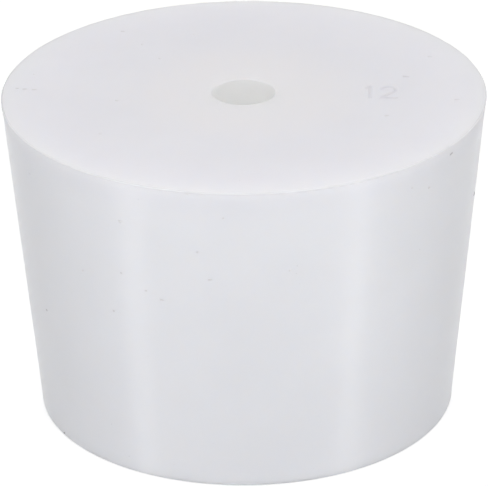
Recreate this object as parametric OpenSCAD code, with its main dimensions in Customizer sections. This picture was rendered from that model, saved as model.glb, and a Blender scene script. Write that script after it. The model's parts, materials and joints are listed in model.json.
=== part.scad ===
// One-hole tapered stopper, moulded in one piece from translucent silicone rubber.
// The narrow end goes into a vessel's neck and a glass tube goes through the hole.
// It stands on its narrow end: the origin is the centre of that end's face, and
// +Z runs up the hole to the wide end. All sizes are in millimetres.

/* [Body] */
// Diameter of the tapered wall where it meets the wide end
wide_d = 62; // [56:0.5:68]
// Diameter of the tapered wall where it meets the narrow end
narrow_d = 54; // [44:0.5:55]
// Height from the narrow end's face to the wide end's face
height = 42.5; // [25:0.5:60]

/* [Rims] */
// Radius of the rounded bead that the mould's parting line leaves round each end
bead_r = 0.15; // [0.15:0.05:1]
// How far each bead stands proud of the tapered wall
bead_proud = 0.05; // [0:0.01:0.1]

/* [Hole] */
// Diameter of the straight hole for a glass tube
hole_d = 8; // [4:0.1:12]
// Radius of the rounded lip at each mouth of the hole
lip_r = 0.15; // [0.1:0.05:0.5]

/* [Hidden] */
$fn = 128;
milky_white = [0.88, 0.88, 0.89];
hole_r = hole_d / 2;

// Radius of the tapered wall at a height above the narrow end's face
function wall_r(z) = (narrow_d + (wide_d - narrow_d) * z / height) / 2;

// Distance from the hole's axis to the centre of the bead at one end
function bead_x(end_z) = wall_r(end_z) + bead_proud - bead_r;

// Distance from the hole's axis to the centre of the lip's rounding
lip_x = hole_r + lip_r;

// Half of the stopper's section with its four corners cut off: the straight wall of
// the hole on the left, the tapered wall on the right and the two flat ends between
module cut_section() {
    polygon([
        [lip_x, 0],
        [bead_x(0), 0],
        [wall_r(bead_r), bead_r],
        [wall_r(height - bead_r), height - bead_r],
        [bead_x(height), height],
        [lip_x, height],
        [hole_r, height - lip_r],
        [hole_r, lip_r]
    ]);
}

// The roundings that fill the two cut corners of one end. The same pair serves both
// ends: inset(r) gives how high the centre of a rounding of radius r lies.
module end_roundings(end_z) {
    function inset(r) = end_z == 0 ? r : height - r;
    translate([bead_x(end_z), inset(bead_r)]) circle(bead_r);
    translate([lip_x, inset(lip_r)]) circle(lip_r);
}

// The whole moulding: its half section turned once round the hole's axis
module stopper() {
    color(milky_white)
        rotate_extrude() {
            cut_section();
            end_roundings(0);
            end_roundings(height);
        }
}

stopper();
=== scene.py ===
# %% [markdown]
# # A one-hole stopper of milky silicone rubber
#
# The object is a solid cone of translucent silicone rubber with one straight hole through it. A
# laboratory pushes a glass tube through the hole and wedges the narrow end into a flask. It is one
# moulding, so nearly all of its look comes from three things: the light that sinks into the rubber
# and comes out again a few millimetres away, the satin skin that the mould leaves, and the small
# marks of use. The notebook goes in this order: frame, camera, form, number, dirt, rubber, specks
# and light.

# %% Load the frame
import json
import math
import random

import bmesh
import bpy
from mathutils import Matrix, Vector
from mathutils.geometry import intersect_point_line

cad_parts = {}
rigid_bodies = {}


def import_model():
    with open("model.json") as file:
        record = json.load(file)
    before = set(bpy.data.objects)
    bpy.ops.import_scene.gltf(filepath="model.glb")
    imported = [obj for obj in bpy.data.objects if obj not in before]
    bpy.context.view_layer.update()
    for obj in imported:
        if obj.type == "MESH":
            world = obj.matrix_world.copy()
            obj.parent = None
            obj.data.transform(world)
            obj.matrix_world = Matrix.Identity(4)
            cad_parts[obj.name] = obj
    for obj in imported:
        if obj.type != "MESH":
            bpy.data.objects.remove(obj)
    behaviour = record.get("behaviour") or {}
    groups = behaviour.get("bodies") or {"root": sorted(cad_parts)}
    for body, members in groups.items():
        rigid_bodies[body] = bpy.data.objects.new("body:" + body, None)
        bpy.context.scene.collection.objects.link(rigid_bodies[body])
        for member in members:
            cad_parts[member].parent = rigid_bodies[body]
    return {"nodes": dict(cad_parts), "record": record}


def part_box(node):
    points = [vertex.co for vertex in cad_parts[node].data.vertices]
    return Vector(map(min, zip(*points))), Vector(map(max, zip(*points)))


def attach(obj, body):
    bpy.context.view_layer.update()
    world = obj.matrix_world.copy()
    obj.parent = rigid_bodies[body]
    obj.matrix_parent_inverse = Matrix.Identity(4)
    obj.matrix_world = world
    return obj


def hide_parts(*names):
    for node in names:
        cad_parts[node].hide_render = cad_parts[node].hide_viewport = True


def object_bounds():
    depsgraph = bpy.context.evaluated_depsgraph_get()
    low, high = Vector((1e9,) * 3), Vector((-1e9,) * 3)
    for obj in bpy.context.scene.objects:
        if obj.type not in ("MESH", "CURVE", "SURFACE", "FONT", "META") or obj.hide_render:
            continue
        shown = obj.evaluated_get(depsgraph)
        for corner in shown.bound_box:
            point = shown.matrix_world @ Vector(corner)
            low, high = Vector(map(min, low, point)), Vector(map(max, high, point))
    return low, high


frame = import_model()
cad_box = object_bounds()

MM = 0.001
cad_sides = [round(side / MM, 2) for side in cad_box[1] - cad_box[0]]
print("frame:", sorted(frame["nodes"]), "box", cad_sides, "mm")

# %% [markdown]
# ## The camera
#
# A long lens far away flattens a small object, so that its near and its far rim look nearly the
# same. The stopper's two ends are ellipses of nearly the same openness, which means the camera is
# many diameters off, so a 300 mm lens half a metre away is the right kind. It looks at the middle
# of the stopper from 25 degrees above the bench, rolled a little less than a degree off level.

# %% Place the camera
SENSOR_WIDTH = 36.0
LENS = 303.3
NEAREST_SEEN = 50 * MM
AIM = Vector((-0.2, 0.0, 21.1)) * MM
CAMERA_DISTANCE = 535.2 * MM
CAMERA_ELEVATION = math.radians(25.47)
CAMERA_ROLL = math.radians(0.68)


def add_camera():
    """A long lens that looks at the middle of the stopper from the front and a little above."""
    data = bpy.data.cameras.new("camera")
    data.sensor_width = SENSOR_WIDTH
    data.lens = LENS
    data.clip_start = NEAREST_SEEN
    camera = bpy.data.objects.new("camera", data)
    bpy.context.scene.collection.objects.link(camera)
    towards_camera = Vector((0, -math.cos(CAMERA_ELEVATION), math.sin(CAMERA_ELEVATION)))
    level = towards_camera.to_track_quat("Z", "Y").to_matrix().to_4x4()
    place = Matrix.Translation(AIM + towards_camera * CAMERA_DISTANCE)
    camera.matrix_world = place @ level @ Matrix.Rotation(-CAMERA_ROLL, 4, "Z")
    return camera


bpy.context.scene.camera = add_camera()
bpy.context.scene.view_settings.view_transform = "Standard"
print("camera:", round(CAMERA_DISTANCE, 3), "m from the stopper, lens", LENS, "mm")

# %% [markdown]
# ## The form
#
# A stopper is turned by nature: its mould is two turned cavities with a pin for the hole. So the
# form is one half section, drawn in millimetres as (distance from the axis, height), and turned
# round the axis. A cylinder with a taper and a boolean hole would give the same outline, but its
# corners would be knife edges, and rubber never has those. The four corners here are real arcs: a
# very small bead round each end, where the mould opens and the flash was trimmed, and a lip just as
# fine at each mouth of the hole. They look crisp from a step away, and still catch a hair of light.

# %% Read the driving sizes from the frame
BEAD_RADIUS = 0.15
BEAD_PROUD = 0.05
LIP_RADIUS = 0.15


def widest_below(node, level):
    """The largest distance from the axis, in mm, of a CAD node's points under a level."""
    points = [v.co / MM for v in frame["nodes"][node].data.vertices]
    return max(math.hypot(p.x, p.y) for p in points if p.z < level)


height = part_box("stopper")[1].z / MM
wide_radius = widest_below("stopper", math.inf) - BEAD_PROUD
narrow_radius = widest_below("stopper", 2 * BEAD_RADIUS) - BEAD_PROUD
tube_bore = next(m for m in frame["record"]["mounts"] if m["name"] == "tube_bore")
hole_radius = tube_bore["dims"]["r_mm"]
taper = math.atan2(wide_radius - narrow_radius, height)
print("stopper: height %.2f, ends %.2f and %.2f, hole %.2f mm in radius, taper %.2f degrees"
      % (height, wide_radius, narrow_radius, hole_radius, math.degrees(taper)))

# %% Draw the half section
BEAD_STEPS = 10
LIP_STEPS = 6
RING_GAP = 0.5
WALL_RING_GAP = 1.5
SUPPORT = 0.08


def arc(centre, radius, start, end, steps):
    """Points of an arc in the half section, from one angle to another in degrees."""
    angles = [math.radians(start + (end - start) * i / steps) for i in range(steps + 1)]
    return [(centre[0] + radius * math.cos(a), centre[1] + radius * math.sin(a)) for a in angles]


def stretch(start, end, gap):
    """Points between two ends of a straight line, with one close to each end.

    The close ones keep smooth shading from spreading the roundness of a corner over a flat.
    """
    a, b = Vector(start), Vector(end)
    length = (b - a).length
    count = max(1, round(length / gap))
    places = [SUPPORT] + [length * i / count for i in range(1, count)] + [length - SUPPORT]
    return [tuple(a.lerp(b, place / length)) for place in places]


def bead(end_height, end_radius):
    """Centre of the bead round one end, and the angle at which the wall runs into it."""
    inwards = 1 if end_height == 0 else -1
    centre = (end_radius + BEAD_PROUD - BEAD_RADIUS, end_height + inwards * BEAD_RADIUS)
    off_wall = (wide_radius - (height - centre[1]) * math.tan(taper) - centre[0]) * math.cos(taper)
    return centre, math.degrees(inwards * math.acos(off_wall / BEAD_RADIUS) - taper)


def half_section():
    """The closed outline of the rubber on one side of the axis, from the lower mouth and back."""
    low_bead, low_meets_wall = bead(0, narrow_radius)
    high_bead, high_meets_wall = bead(height, wide_radius)
    lip = hole_radius + LIP_RADIUS
    corners = [
        arc((lip, LIP_RADIUS), LIP_RADIUS, 180, 270, LIP_STEPS),
        arc(low_bead, BEAD_RADIUS, -90, low_meets_wall, BEAD_STEPS),
        arc(high_bead, BEAD_RADIUS, high_meets_wall, 90, BEAD_STEPS),
        arc((lip, height - LIP_RADIUS), LIP_RADIUS, 90, 180, LIP_STEPS),
    ]
    gaps = [RING_GAP, WALL_RING_GAP, RING_GAP, WALL_RING_GAP]
    outline = []
    for corner, following, gap in zip(corners, corners[1:] + corners[:1], gaps):
        outline += corner + stretch(corner[-1], following[0], gap)
    return outline


section = half_section()
print("half section:", len(section), "points")

# %% [markdown]
# ## Turning the section
#
# `bmesh.ops.spin` sweeps a wire round an axis, as a lathe or a revolved mould cavity would. 256
# steps keep the outline within three thousandths of a millimetre of a true circle, so even a close
# view shows no corners, and the last step is merged with the first so that the skin is closed.

# %% Turn it
TURN_STEPS = 256
MERGE_WITHIN = 0.0005


def turned_skin(outline):
    """A closed skin, in metres, made by turning an outline once round the Z axis."""
    skin = bmesh.new()
    ring = [skin.verts.new((r * MM, 0, z * MM)) for r, z in outline]
    edges = [skin.edges.new((a, b)) for a, b in zip(ring, ring[1:] + ring[:1])]
    bmesh.ops.spin(skin, geom=ring + edges, cent=(0, 0, 0), axis=(0, 0, 1), angle=math.tau,
                   steps=TURN_STEPS, use_merge=True)
    bmesh.ops.remove_doubles(skin, verts=skin.verts, dist=MERGE_WITHIN * MM)
    bmesh.ops.recalc_face_normals(skin, faces=skin.faces)
    return skin


skin = turned_skin(section)
print("turned:", len(skin.faces), "faces, open edges", sum(e.is_boundary for e in skin.edges))

# %% [markdown]
# ## The size number
#
# Such stoppers carry a plain number that tells their size, sunk about a tenth of a millimetre into
# the wide face by a stamp in the mould. The number is drawn here as single strokes, the way a
# mould-maker's engraver runs a round cutter along a line. The strokes are plain lines and one arc,
# not a font. A boolean with a text object would leave long thin triangles and hard corners. It
# works better to cut the face finer where the number is, and to press each point down by a smooth
# function of its distance from the nearest stroke: the groove then has the flat floor and the soft
# shoulders that moulded rubber has.

# %% Lay out the strokes
NUMBER_AT = Vector((17.9, -0.55))
NUMBER_TURN = Matrix.Rotation(math.radians(-2.8), 2)
DIGIT_HEIGHT = 3.55
STROKE_WIDTH = 0.66
STROKE_DEPTH = 0.1
ONE_AT = -1.75
ONE_FLAG = (-0.5, -0.45)
TWO_AT = 0.6
TWO_BOWL = 0.95
BOWL_FROM, BOWL_TO, BOWL_STEPS = 165, -45, 12


def digit_one(x):
    """A stem with a short flag, as (x, y) points about the number's centre."""
    top, foot = DIGIT_HEIGHT / 2, -DIGIT_HEIGHT / 2
    return [(x + ONE_FLAG[0], top + ONE_FLAG[1]), (x, top), (x, foot)]


def digit_two(x):
    """A round bowl that runs down into a slanted neck and a flat foot."""
    centre = (x, DIGIT_HEIGHT / 2 - TWO_BOWL)
    bowl = arc(centre, TWO_BOWL, BOWL_FROM, BOWL_TO, BOWL_STEPS)
    foot = -DIGIT_HEIGHT / 2
    return bowl + [(x - TWO_BOWL, foot), (x + TWO_BOWL, foot)]


def placed(stroke):
    """A stroke's points where they lie on the wide face, in metres."""
    return [(NUMBER_AT + NUMBER_TURN @ Vector(p)).to_3d() * MM for p in stroke]


strokes = [placed(digit_one(ONE_AT)), placed(digit_two(TWO_AT))]
print("number:", sum(len(s) for s in strokes), "stroke points")

# %% Cut the face finer round them
REFINE_PASSES = 3
# How far round the strokes the last pass reaches, in mm. Each earlier one reaches this much more.
REFINE_MARGIN = 0.5
# What belongs to the wide face: a normal this nearly upright, and no more than this many mm below.
LEVEL_ENOUGH = 0.99
FACE_DEPTH = 0.01


def distance_to_strokes(point):
    """How far a point of the wide face is from the nearest stroke, in mm."""
    flat = Vector((point.x, point.y, 0))
    nearest = math.inf
    for stroke in strokes:
        for a, b in zip(stroke, stroke[1:]):
            share = min(1, max(0, intersect_point_line(flat, a, b)[1]))
            nearest = min(nearest, (flat - a.lerp(b, share)).length)
    return nearest / MM


def near_number(face, reach):
    """Whether a face lies in the wide end and within reach, in mm, of the number's strokes."""
    middle = face.calc_center_median()
    return (face.normal.z > LEVEL_ENOUGH and middle.z > (height - FACE_DEPTH) * MM
            and abs(middle.x / MM - NUMBER_AT.x) < DIGIT_HEIGHT
            and abs(middle.y / MM - NUMBER_AT.y) < DIGIT_HEIGHT
            and distance_to_strokes(middle) < reach)


def refine_face(skin):
    """Cuts the wide face finer round the number, a smaller patch each time."""
    for done in range(REFINE_PASSES):
        reach = REFINE_MARGIN * (REFINE_PASSES - done)
        near = [face for face in skin.faces if near_number(face, reach)]
        edges = list(dict.fromkeys(edge for face in near for edge in face.edges))
        bmesh.ops.subdivide_edges(skin, edges=edges, cuts=1, use_grid_fill=True)


refine_face(skin)
print("number: cut finer, now", len(skin.faces), "faces")

# %% Press them into the face
# The share of painted shade at the floor of a stroke, where shade falls in the groove.
STROKE_PAINTED_SHADE = 0.25
SHOULDER = STROKE_WIDTH / 4


def smooth(share):
    """A share held between 0 and 1, with its two ends eased."""
    share = min(1, max(0, share))
    return share * share * (3 - 2 * share)


def press_number(skin, painted_shade):
    """Lowers the wide face along the strokes, to a flat floor with a soft shoulder on each side."""
    pressed = 0
    for v in skin.verts:
        away = (v.co.xy / MM - NUMBER_AT).length
        if v.co.z < (height - FACE_DEPTH) * MM or away > DIGIT_HEIGHT:
            continue
        depth = smooth(2 - distance_to_strokes(v.co) / SHOULDER)
        if depth > 0:
            v.co.z -= STROKE_DEPTH * MM * depth
            # Painted shade: the groove's colour is darkened in step with its depth.
            v[painted_shade] = STROKE_PAINTED_SHADE * depth
            pressed += 1
    return pressed


# Each point's share of painted shade, which darkens the rubber's colour and dulls its gloss.
painted_shade = skin.verts.layers.float.new("painted_shade")
print("number: pressed", press_number(skin, painted_shade), "points")

# %% [markdown]
# ## Where shade is painted
#
# Colour is darkened, as painted shade, where something stands out or lies deep: in the strokes of
# the number, along the trimmed rim, round the mouth of the hole, and on the wall just below the
# rim. In the grooves it stands for the shade that falls there, and on the edges it takes down their
# glow and glint. Each point of the skin keeps its own share of painted shade, from 0 to 1, and the
# rubber's colour and gloss follow it. The strokes have theirs already, in step with their depth.
# The two rounded edges of the wide end get theirs on the points of the rounding alone, so that it
# ends within a tenth of a millimetre on the face.
#
# At the left and the right, where the wall turns away, the painted shade is a darker, thinner line.
# So each amount is a pair: what it is all round, and what it is at those two sides.

# %% Find the two sides
# Degrees round from the front, and how strong the painted shade is there. A side ends where the
# cosine of the angle from its middle falls to the last number here, 20 degrees away.
LEFT_SIDE = (-90, 1.0)
RIGHT_SIDE = (82, 0.45)
SIDE_FROM = 0.94


def toward_sides(point, pair):
    """An amount between a pair: all round, and at the left and right sides."""
    turn = math.atan2(point.x, -point.y)
    at_side = 0
    for degrees, strength in (LEFT_SIDE, RIGHT_SIDE):
        nearness = math.cos(turn - math.radians(degrees))
        at_side = max(at_side, strength * smooth((nearness - SIDE_FROM) / (1 - SIDE_FROM)))
    return pair[0] + (pair[1] - pair[0]) * at_side


# The two sides where the painted shade is strongest.
print("grips: thumb at %g and finger at %g degrees round" % (LEFT_SIDE[0], RIGHT_SIDE[0]))

# %% Paint shade on the edges
# Shares of painted shade, all round and at the two sides, and how many mm it reaches below the rim.
RIM_PAINTED_SHADE = (0.33, 1.0)
LIP_PAINTED_SHADE = (0.08, 0.08)
UNDER_RIM_PAINTED_SHADE = (0.17, 1.0)
UNDER_RIM_SHADE_REACH = (4.5, 1.8)
# How near a point lies to the line of its edge, in mm.
ON_THE_ARC = 0.005
# The wall's points lie further off the axis than this, in mm, and the number's lie nearer.
WALL_FROM = 0.9 * narrow_radius


def off_axis(point):
    """How far a point is from the hole's axis, in mm."""
    return math.hypot(point.x, point.y) / MM


def paint_shade_on_edge(skin, painted_shade, centre, radius, pair):
    """Painted shade on a rounded edge, given by its centre in the section and its radius in mm."""
    for v in skin.verts:
        away = math.hypot(off_axis(v.co) - centre[0], v.co.z / MM - centre[1])
        if abs(away - radius) < ON_THE_ARC:
            v[painted_shade] = toward_sides(v.co, pair)


def paint_shade_below_rim(skin, painted_shade):
    """Painted shade on the wall, which fades down from the upper rim."""
    for v in skin.verts:
        down = height - v.co.z / MM
        if off_axis(v.co) > WALL_FROM and down > ON_THE_ARC:
            fading = smooth(1 - down / toward_sides(v.co, UNDER_RIM_SHADE_REACH))
            v[painted_shade] = toward_sides(v.co, UNDER_RIM_PAINTED_SHADE) * fading


paint_shade_below_rim(skin, painted_shade)
lip_centre = (hole_radius + LIP_RADIUS, height - LIP_RADIUS)
paint_shade_on_edge(skin, painted_shade, bead(height, wide_radius)[0], BEAD_RADIUS, RIM_PAINTED_SHADE)
paint_shade_on_edge(skin, painted_shade, lip_centre, LIP_RADIUS, LIP_PAINTED_SHADE)
# How many points carry painted shade.
print("soiled points:", sum(v[painted_shade] > 0 for v in skin.verts))

# %% Make the piece
def piece_from(bm, name):
    """A new smooth-shaded object from a bmesh."""
    mesh = bpy.data.meshes.new(name)
    bm.normal_update()
    bm.to_mesh(mesh)
    bm.free()
    for polygon in mesh.polygons:
        polygon.use_smooth = True
    piece = bpy.data.objects.new(name, mesh)
    bpy.context.scene.collection.objects.link(piece)
    return piece


rubber_body = piece_from(skin, "rubber_body")
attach(rubber_body, "root")
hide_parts("stopper")
print("rubber body:", len(rubber_body.data.polygons), "faces")

# %% [markdown]
# ## The rubber
# Deeper in the hole its colour is also painted paler, as painted light.
#
# Silicone rubber is neither opaque nor clear. Light goes into it and comes out milky some way off,
# so corners glow a little, the hole is never dark, and shadows have no edge. The Principled
# shader's subsurface scattering does that. One reach for the whole skin does not work. On the wall
# it is short, which keeps the shading round. On the face it is longer, which lights the rim. Round
# the hole it is very long, because light comes to that narrow wall through the rubber from all
# sides, and a short reach leaves a dark crescent in it.
#
# The skin is satin: a broad soft sheen and no mirror. The mould was turned, and its fine rings draw
# the wall's sheen out into upright bands, so there the shader is stretched along the wall. Slow
# patterns, in millimetres on the object itself, keep the rubber from being too even: faint clouds
# from mixing, a warmer zone on the face round the hole, patches of wear and a fine grain.

# %% Helpers for node materials
def new_material(name):
    """A new node material, with its nodes, its links and its Principled shader."""
    material = bpy.data.materials.new(name)
    material.use_nodes = True
    nodes = material.node_tree.nodes
    return material, nodes, material.node_tree.links, nodes["Principled BSDF"]


def noise(nodes, links, where, size_mm, detail):
    """A noise texture whose features are about size_mm across."""
    texture = nodes.new("ShaderNodeTexNoise")
    texture.inputs["Scale"].default_value = 1 / (size_mm * MM)
    texture.inputs["Detail"].default_value = detail
    links.new(where, texture.inputs["Vector"])
    return texture.outputs["Fac"]


def spread(nodes, links, value, low, high, to_low, to_high):
    """Maps a value from one range to another, smoothly and clamped."""
    ranged = nodes.new("ShaderNodeMapRange")
    ranged.interpolation_type = "SMOOTHSTEP"
    numbers = {"From Min": low, "From Max": high, "To Min": to_low, "To Max": to_high}
    for socket, number in numbers.items():
        ranged.inputs[socket].default_value = number
    links.new(value, ranged.inputs["Value"])
    return ranged.outputs["Result"]


def blend_colours(nodes, links, share, first, second):
    """Mixes two colours, each a colour or a socket, by a share from 0 to 1."""
    mix = nodes.new("ShaderNodeMix")
    mix.data_type = "RGBA"
    links.new(share, mix.inputs["Factor"])
    for socket, colour in ((mix.inputs[6], first), (mix.inputs[7], second)):
        if isinstance(colour, tuple):
            socket.default_value = (*colour, 1)
        else:
            links.new(colour, socket)
    return mix.outputs[2]


# %% Change the colour from place to place
# The warm core fades between two distances off the axis, and the painted light that makes the hole
# paler further down between two depths below the wide face, all in mm.
WARM_CORE = (0.880, 0.863, 0.891)
WARM_WITHIN, WARM_GONE_AT = 8, 19
# Painted light: the pale colour that the hole turns to further down.
HOLE_PAINTED_LIGHT = (0.990, 0.986, 0.972)
PAINTED_LIGHT_FROM, PAINTED_LIGHT_FULL_AT = 0.5, 4.5


def distance_off_axis(nodes, links, here):
    """How far a place is from the hole's axis, in metres."""
    flat = nodes.new("ShaderNodeVectorMath")
    flat.operation = "MULTIPLY"
    flat.inputs[1].default_value = (1, 1, 0)
    links.new(here, flat.inputs[0])
    length = nodes.new("ShaderNodeVectorMath")
    length.operation = "LENGTH"
    links.new(flat.outputs["Vector"], length.inputs[0])
    return length.outputs["Value"]


def warm_core(nodes, links, here, colour):
    """The face's colour, turned warmer round the hole."""
    away = distance_off_axis(nodes, links, here)
    near_axis = spread(nodes, links, away, WARM_WITHIN * MM, WARM_GONE_AT * MM, 1, 0)
    return blend_colours(nodes, links, near_axis, colour, WARM_CORE)


def painted_light_in_hole(nodes, links, here, colour):
    """The hole's colour, paler a few millimetres down: painted light that fills the hole."""
    up = nodes.new("ShaderNodeSeparateXYZ")
    links.new(here, up.inputs[0])
    painted_light_full, painted_light_starts = (height - PAINTED_LIGHT_FULL_AT) * MM, (height - PAINTED_LIGHT_FROM) * MM
    down = spread(nodes, links, up.outputs["Z"], painted_light_full, painted_light_starts, 1, 0)
    return blend_colours(nodes, links, down, colour, HOLE_PAINTED_LIGHT)


# The warm core, and the painted light in the hole.
print("rubber: warm core", WARM_CORE, "and clean depth", HOLE_PAINTED_LIGHT)

# %% Mix the silicone
# Painted shade darkens the rubber towards this colour, and brings its gloss from the first level
# down to the second.
SHADE_PAINT_COLOUR = (0.660, 0.652, 0.690)
PLAIN_GLOSS = 0.5
GLOSS_UNDER_PAINTED_SHADE = 0.05
GLOSS_GONE_AT = 0.67
SATIN_RANGE = 0.04
# Sizes and depths in mm. A range is the part of the noise that the pattern is made from.
CLOUD_SIZE, CLOUD_DETAIL, CLOUD_RANGE = 14, 3, (0.35, 0.65)
WEAR_SIZE, WEAR_DETAIL, WEAR_RANGE = 5, 4, (0.3, 0.7)
GRAIN_SIZE, GRAIN_DETAIL = 0.35, 3
GRAIN_STRENGTH, GRAIN_DEPTH = 0.25, 0.02
SILICONE_IOR = 1.41
# How far red, green and blue go, as shares of the reach.
REACH_OF_COLOURS = (1.0, 0.95, 0.9)


def silicone(name, milk, deep, roughness, reach, change=None):
    """Milky silicone rubber with a satin, faintly grained skin.

    The reach is how far light goes in it, in mm. The change, where there is one, alters the colour
    from place to place.
    """
    material, nodes, links, skin_shader = new_material(name)
    here = nodes.new("ShaderNodeTexCoord").outputs["Object"]

    mixing = noise(nodes, links, here, CLOUD_SIZE, CLOUD_DETAIL)
    clouds = spread(nodes, links, mixing, *CLOUD_RANGE, 0, 1)
    colour = blend_colours(nodes, links, clouds, milk, deep)
    if change:
        colour = change(nodes, links, here, colour)
    # Painted shade: each point's share darkens the colour and dulls the gloss.
    painted_shade = nodes.new("ShaderNodeAttribute")
    painted_shade.attribute_name = "painted_shade"
    colour = blend_colours(nodes, links, painted_shade.outputs["Fac"], colour, SHADE_PAINT_COLOUR)
    links.new(colour, skin_shader.inputs["Base Color"])
    gloss = spread(nodes, links, painted_shade.outputs["Fac"],
                   0, GLOSS_GONE_AT, PLAIN_GLOSS, GLOSS_UNDER_PAINTED_SHADE)
    links.new(gloss, skin_shader.inputs["Specular IOR Level"])

    wear = noise(nodes, links, here, WEAR_SIZE, WEAR_DETAIL)
    satin = spread(nodes, links, wear, *WEAR_RANGE,
                   roughness - SATIN_RANGE, roughness + SATIN_RANGE)
    links.new(satin, skin_shader.inputs["Roughness"])

    bump = nodes.new("ShaderNodeBump")
    bump.inputs["Strength"].default_value = GRAIN_STRENGTH
    bump.inputs["Distance"].default_value = GRAIN_DEPTH * MM
    links.new(noise(nodes, links, here, GRAIN_SIZE, GRAIN_DETAIL), bump.inputs["Height"])
    links.new(bump.outputs["Normal"], skin_shader.inputs["Normal"])

    skin_shader.inputs["IOR"].default_value = SILICONE_IOR
    skin_shader.inputs["Subsurface Weight"].default_value = 1.0
    skin_shader.inputs["Subsurface Radius"].default_value = REACH_OF_COLOURS
    skin_shader.inputs["Subsurface Scale"].default_value = reach * MM
    return material


print("silicone: clouds of %g mm, wear of %g mm, grain of %g mm"
      % (CLOUD_SIZE, WEAR_SIZE, GRAIN_SIZE))

# %% Draw the wall's sheen upright
WALL_MILK = (0.857, 0.864, 0.904)
WALL_MILK_DEEP = (0.843, 0.850, 0.889)
WALL_REACH = 2.0
TURNED_SATIN = 0.38
TURNED_STRETCH = 1.0
STRETCH_UPRIGHT = 0.25


def turned_silicone():
    """The same rubber where fine rings from the turned mould draw its sheen out upright."""
    material = silicone("turned_silicone", WALL_MILK, WALL_MILK_DEEP, TURNED_SATIN, WALL_REACH)
    nodes, links = material.node_tree.nodes, material.node_tree.links
    skin_shader = nodes["Principled BSDF"]
    around = nodes.new("ShaderNodeTangent")
    around.direction_type = "RADIAL"
    around.axis = "Z"
    links.new(around.outputs["Tangent"], skin_shader.inputs["Tangent"])
    skin_shader.inputs["Anisotropic"].default_value = TURNED_STRETCH
    skin_shader.inputs["Anisotropic Rotation"].default_value = STRETCH_UPRIGHT
    return material


print("wall: light reaches", WALL_REACH, "mm in, and its satin is", TURNED_SATIN, "rough")

# %% Give each zone of the skin its mix
FACE_MILK = (0.870, 0.864, 0.918)
FACE_MILK_DEEP = (0.856, 0.850, 0.903)
FACE_REACH = 5.0
HOLE_MILK = (0.820, 0.818, 0.820)
HOLE_MILK_DEEP = (0.810, 0.808, 0.810)
HOLE_REACH = 60.0
SATIN = 0.42
FACE, WALL, HOLE = range(3)
# A face is part of the wall or the hole where the upward share of its normal is below this.
UPRIGHT_BELOW = 0.5


def zone(face):
    """Which of the three mixes a face of the skin has."""
    if abs(face.normal.z) >= UPRIGHT_BELOW:
        return FACE
    return WALL if off_axis(face.center) > WALL_FROM else HOLE


mixes = [
    silicone("milky_silicone", FACE_MILK, FACE_MILK_DEEP, SATIN, FACE_REACH, warm_core),
    turned_silicone(),
    # The hole's mix is painted paler further down, as painted light.
    silicone("hole_silicone", HOLE_MILK, HOLE_MILK_DEEP, SATIN, HOLE_REACH, painted_light_in_hole),
]
for material in mixes:
    rubber_body.data.materials.append(material)
for face in rubber_body.data.polygons:
    face.material_index = zone(face)
print("zones: light reaches", FACE_REACH, "mm into the face and", HOLE_REACH, "mm round the hole")

# %% [markdown]
# ## The specks
#
# Milky rubber shows every crumb. This stopper has been handled: small dark grains of grit sit half
# sunk in its skin, some of them short fibres that lie flat. Dots of colour in the material would
# look the same from the front, but they would be missing from the mesh, and a grain also has a lit
# and a shaded side. So each speck is a small ball of its own, stretched, flattened and roughened a
# little so that no two are alike. The ones that catch the eye are listed one by one, and a seeded
# scatter adds the faint ones all round. They are a single piece, because there are dozens of them.

# %% Choose where the larger specks sit
# Across and back from the middle of the wide face, and length, in mm, and then the tone.
TOP_SPECKS = [
    (24.3, 10.9, 0.75, 0.0), (20.9, 4.4, 1.25, 0.12), (18.0, -8.1, 0.65, 0.1),
    (27.1, -3.3, 0.85, 0.15), (-16.2, -2.3, 0.50, 0.0), (-10.9, 11.3, 0.43, 0.0),
    (-15.9, 20.7, 0.80, 0.0), (-29.1, 2.0, 0.55, 0.2), (-28.1, 1.8, 0.78, 0.25),
    (-26.9, 1.6, 0.80, 0.05), (-27.1, 6.5, 0.26, 0.0), (-18.1, -12.6, 0.40, 0.0),
    (-6.5, 19.3, 0.25, 0.0), (-13.3, 16.1, 0.27, 0.0), (20.8, -18.0, 0.18, 0.0),
]
# Degrees round from the front, mm above the bench, length in mm, and the tone.
WALL_SPECKS = [
    (56.3, 41.2, 0.76, 0.65), (-61.7, 38.0, 0.38, 0.15), (-30.4, 36.7, 0.46, 0.0),
    (-62.4, 18.3, 0.46, 0.6), (-31.3, 29.3, 0.34, 0.2), (-20.7, 26.6, 0.60, 0.15),
    (-8.5, 30.2, 0.60, 0.1), (-11.4, 34.0, 0.36, 0.1), (12.9, 29.3, 0.22, 0.0),
    (79.1, 30.4, 0.90, 0.9), (48.3, 38.1, 0.45, 0.1), (42.2, 39.2, 0.34, 0.06),
    (-61.5, 0.3, 0.50, 0.9), (-13.2, 42.2, 0.54, 0.1), (-34.5, 23.4, 0.34, 0.2),
    (-24.8, 27.5, 0.35, 0.08), (-43.4, 27.8, 0.34, 0.1), (-5.1, 39.0, 0.31, 0.12),
    (10.4, 31.3, 0.33, 0.0),
]
print("specks placed by hand:", len(TOP_SPECKS) + len(WALL_SPECKS))

# %% Stand a speck on the rubber
def on_top(x, y):
    """A frame, in metres, at a place of the wide face: Z out of the rubber, X across the front."""
    return Matrix.Translation(Vector((x, y, height)) * MM)


def on_wall(degrees, up):
    """A frame at a place of the wall: degrees round from the front, and mm above the bench."""
    turn = math.radians(degrees)
    radius = wide_radius - (height - up) * math.tan(taper)
    place = Matrix.Translation(Vector((radius * math.sin(turn), -radius * math.cos(turn), up)) * MM)
    lean = Matrix.Rotation(math.pi / 2 + taper, 4, "X")
    return place @ Matrix.Rotation(turn, 4, "Z") @ lean


# %% Make the grains
SPECK_SEED = 12
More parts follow.
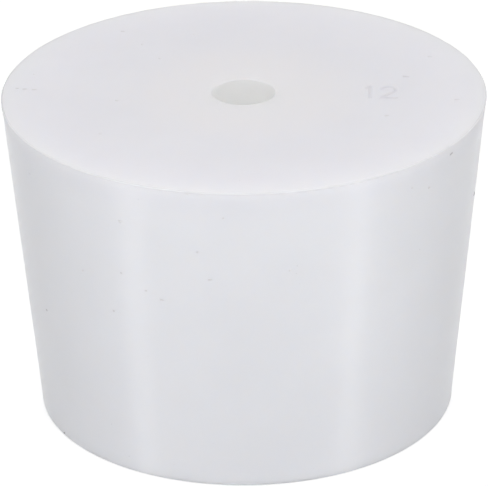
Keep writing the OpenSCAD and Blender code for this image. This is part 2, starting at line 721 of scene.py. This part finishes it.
# The greatest width in mm, the share of it that a grain has, and its thickness as a share of that.
SPECK_WIDTH = 0.36
SPECK_NARROWING = (0.7, 1.0)
SPECK_THICKNESS = 0.45
SPECK_TURN = 0.4
SPECK_ROUGHNESS = 0.18
FAINT_ON_TOP = 16
FAINT_ON_WALL = 44
FAINT_LENGTHS = (0.07, 0.13)
FAINT_AREA = (0.04, 0.9)
# How far the faint grains of the wall stay from its two ends, in mm.
FAINT_EDGE = 1

draw = random.Random(SPECK_SEED)
grains = bmesh.new()
tone = grains.verts.layers.float.new("tone")


def add_grain(place, length, darkness):
    """One grain, half sunk at a place, with its length nearly level."""
    across = min(length, SPECK_WIDTH) * draw.uniform(*SPECK_NARROWING)
    sizes = (length / 2, across / 2, across / 2 * SPECK_THICKNESS)
    turned = place @ Matrix.Rotation(draw.uniform(-SPECK_TURN, SPECK_TURN), 4, "Z")
    shape = Matrix.Diagonal((*[size * MM for size in sizes], 1))
    ball = bmesh.ops.create_icosphere(grains, subdivisions=2, radius=1)["verts"]
    for v in ball:
        v.co = turned @ shape @ (v.co * draw.uniform(1 - SPECK_ROUGHNESS, 1))
        v[tone] = darkness


def faint_places():
    """Seeded places all round for the faint grains, each with its length and tone.

    On the wide face they lie evenly in the ring between two shares of its area.
    """
    for _ in range(FAINT_ON_TOP):
        turn = draw.uniform(0, math.tau)
        out = math.sqrt(draw.uniform(*FAINT_AREA)) * wide_radius
        place = on_top(out * math.sin(turn), out * math.cos(turn))
        yield place, draw.uniform(*FAINT_LENGTHS), draw.random()
    for _ in range(FAINT_ON_WALL):
        degrees = draw.uniform(-180, 180)
        place = on_wall(degrees, draw.uniform(FAINT_EDGE, height - FAINT_EDGE))
        yield place, draw.uniform(*FAINT_LENGTHS), draw.random()


for x, y, length, darkness in TOP_SPECKS:
    add_grain(on_top(x, y), length, darkness)
for degrees, up, length, darkness in WALL_SPECKS:
    add_grain(on_wall(degrees, up), length, darkness)
for place, length, darkness in faint_places():
    add_grain(place, length, darkness)
bmesh.ops.recalc_face_normals(grains, faces=grains.faces)
specks = piece_from(grains, "specks")
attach(specks, "root")
print("specks:", len(specks.data.polygons), "faces")

# %% [markdown]
# ## Their colour
#
# Grit is neither black nor even, and on milky rubber most of it is only a little darker than what
# it sits in. Each grain keeps one tone of its own on its points, from 0 for dust to 1 for dark
# grit, and the material turns that into a grey.

# %% Mix the grit
GRIT_DARK = (0.40, 0.39, 0.41)
GRIT_PALE = (0.84, 0.83, 0.86)
GRIT_ROUGHNESS = 0.8


def grit():
    """Dull grit, a little different from grain to grain."""
    material, nodes, links, shader = new_material("grit")
    own_tone = nodes.new("ShaderNodeAttribute")
    own_tone.attribute_name = "tone"
    colour = blend_colours(nodes, links, own_tone.outputs["Fac"], GRIT_PALE, GRIT_DARK)
    links.new(colour, shader.inputs["Base Color"])
    shader.inputs["Roughness"].default_value = GRIT_ROUGHNESS
    return material


specks.data.materials.append(grit())
print("grit: from", GRIT_DARK, "to", GRIT_PALE)

# %% [markdown]
# ## The bench and the light
#
# The bench is a plain pale floor with a little light of its own. For the rays that carry light to
# the rubber it is weak, and fills in the foot of the wall from below. For camera and mirror rays it
# is stronger and brings the floor up to white, all but the soft shadow near the stopper. Further
# out, where the lamps hardly reach, it rises to full white, so that floor and room meet unseen.
#
# Six softboxes give the form: one near and wide in front, one overhead behind, two at the sides and
# two low behind. Satin rubber would also mirror the front ones as a glare on the wide face, so the
# first four are kept out of its sheen. Two low lamps do the opposite: they show in the sheen alone,
# and draw the two soft upright bands on the wall.

# %% Tell what is lit from what is seen
def seen_rays(nodes, links):
    """1 for camera, mirror and glass rays, and 0 for the rays that carry light to the object."""
    path = nodes.new("ShaderNodeLightPath")
    total = path.outputs["Is Camera Ray"]
    for ray in ("Is Glossy Ray", "Is Transmission Ray"):
        add = nodes.new("ShaderNodeMath")
        add.operation = "MAXIMUM"
        links.new(total, add.inputs[0])
        links.new(path.outputs[ray], add.inputs[1])
        total = add.outputs["Value"]
    return total


def lit_or_seen(nodes, links, lit, seen):
    """One strength for the rays that carry light to the object, and another where it is seen.

    The one that is seen is a number or a socket.
    """
    strength = nodes.new("ShaderNodeMapRange")
    strength.inputs["To Min"].default_value = lit
    if isinstance(seen, float):
        strength.inputs["To Max"].default_value = seen
    else:
        links.new(seen, strength.inputs["To Max"])
    links.new(seen_rays(nodes, links), strength.inputs["Value"])
    return strength.outputs["Result"]


# %% Lay the bench
# Half the floor's side in metres, and how far it lies below the stopper in mm.
FLOOR_HALF = 3.0
FLOOR_GAP = 0.1
FLOOR_SQUARES = 8
FLOOR_COLOUR = (0.5, 0.5, 0.5)
FLOOR_ROUGHNESS = 0.9
FLOOR_LIGHT = 0.165
FLOOR_SEEN = 0.65
SHADOW_REACH = 70 * MM
WHITE_FROM = 400 * MM


def bench():
    """A large pale floor that the stopper stands on."""
    floor_mesh = bmesh.new()
    bmesh.ops.create_grid(floor_mesh, x_segments=FLOOR_SQUARES, y_segments=FLOOR_SQUARES,
                          size=FLOOR_HALF)
    floor = piece_from(floor_mesh, "bench")
    floor.location.z = -FLOOR_GAP * MM
    material, nodes, links, shader = new_material("pale_bench")
    shader.inputs["Base Color"].default_value = (*FLOOR_COLOUR, 1)
    shader.inputs["Roughness"].default_value = FLOOR_ROUGHNESS
    shader.inputs["Specular IOR Level"].default_value = 0.0
    shader.inputs["Emission Color"].default_value = (1, 1, 1, 1)
    here = nodes.new("ShaderNodeTexCoord").outputs["Object"]
    away = distance_off_axis(nodes, links, here)
    seen = spread(nodes, links, away, SHADOW_REACH, WHITE_FROM, FLOOR_SEEN, 1)
    links.new(lit_or_seen(nodes, links, FLOOR_LIGHT, seen), shader.inputs["Emission Strength"])
    floor.data.materials.append(material)


bench()
print("bench:", 2 * FLOOR_HALF, "m wide, white from", WHITE_FROM, "m off the axis")

# %% Make the room pale
ROOM_LEVEL = 0.1


def room():
    """An even pale room: white where it is seen, and a plain level where it lights."""
    world = bpy.data.worlds.new("room")
    bpy.context.scene.world = world
    world.use_nodes = True
    nodes, links = world.node_tree.nodes, world.node_tree.links
    background = nodes["Background"]
    background.inputs["Color"].default_value = (1, 1, 1, 1)
    links.new(lit_or_seen(nodes, links, ROOM_LEVEL, 1.0), background.inputs["Strength"])


room()
print("room: lights at", ROOM_LEVEL, "and is seen white")

# %% Hang the softboxes
def softbox(name, azimuth, elevation, distance, width, tall, level):
    """A rectangular softbox that looks at the stopper.

    Azimuth 0 is the camera's side and 90 the right, in degrees. Distance and size are in metres.
    The level is the share of a facing surface's written colour that this lamp alone gives back.
    """
    data = bpy.data.lights.new(name, "AREA")
    data.shape = "RECTANGLE"
    data.size, data.size_y = width, tall
    data.energy = level * (math.pi * distance) ** 2
    lamp = bpy.data.objects.new(name, data)
    bpy.context.scene.collection.objects.link(lamp)
    a, e = math.radians(azimuth), math.radians(elevation)
    towards = Vector((math.sin(a) * math.cos(e), -math.cos(a) * math.cos(e), math.sin(e)))
    lamp.matrix_world = (Matrix.Translation(AIM + towards * distance)
                         @ towards.to_track_quat("Z", "Y").to_matrix().to_4x4())
    return lamp


# Name, degrees round and up, distance, width and height in metres, and level.
form_lamps = [
    softbox("front", 0, 30, 0.4, 0.49, 0.18, 0.665),
    softbox("overhead_rear", 180, 60, 0.6, 0.3, 0.26, 0.305),
    softbox("side_left", -80, 25, 0.9, 0.35, 0.3, 0.18),
    softbox("side_right", 80, 25, 0.9, 0.35, 0.3, 0.2),
]
rear_lamps = [
    softbox("rear_left", -145, 14, 0.9, 0.38, 0.36, 0.165),
    softbox("rear_right", 145, 14, 0.9, 0.38, 0.36, 0.165),
]
band_lamps = [
    softbox("band_left", -53, 2, 0.9, 0.2, 0.08, 0.35),
    softbox("band_right", 51.5, 2, 0.9, 0.2, 0.08, 0.35),
]
for lamp in form_lamps:
    lamp.visible_glossy = False
for lamp in band_lamps:
    lamp.visible_diffuse = False
print("lamps:", [lamp.name for lamp in form_lamps + rear_lamps + band_lamps])
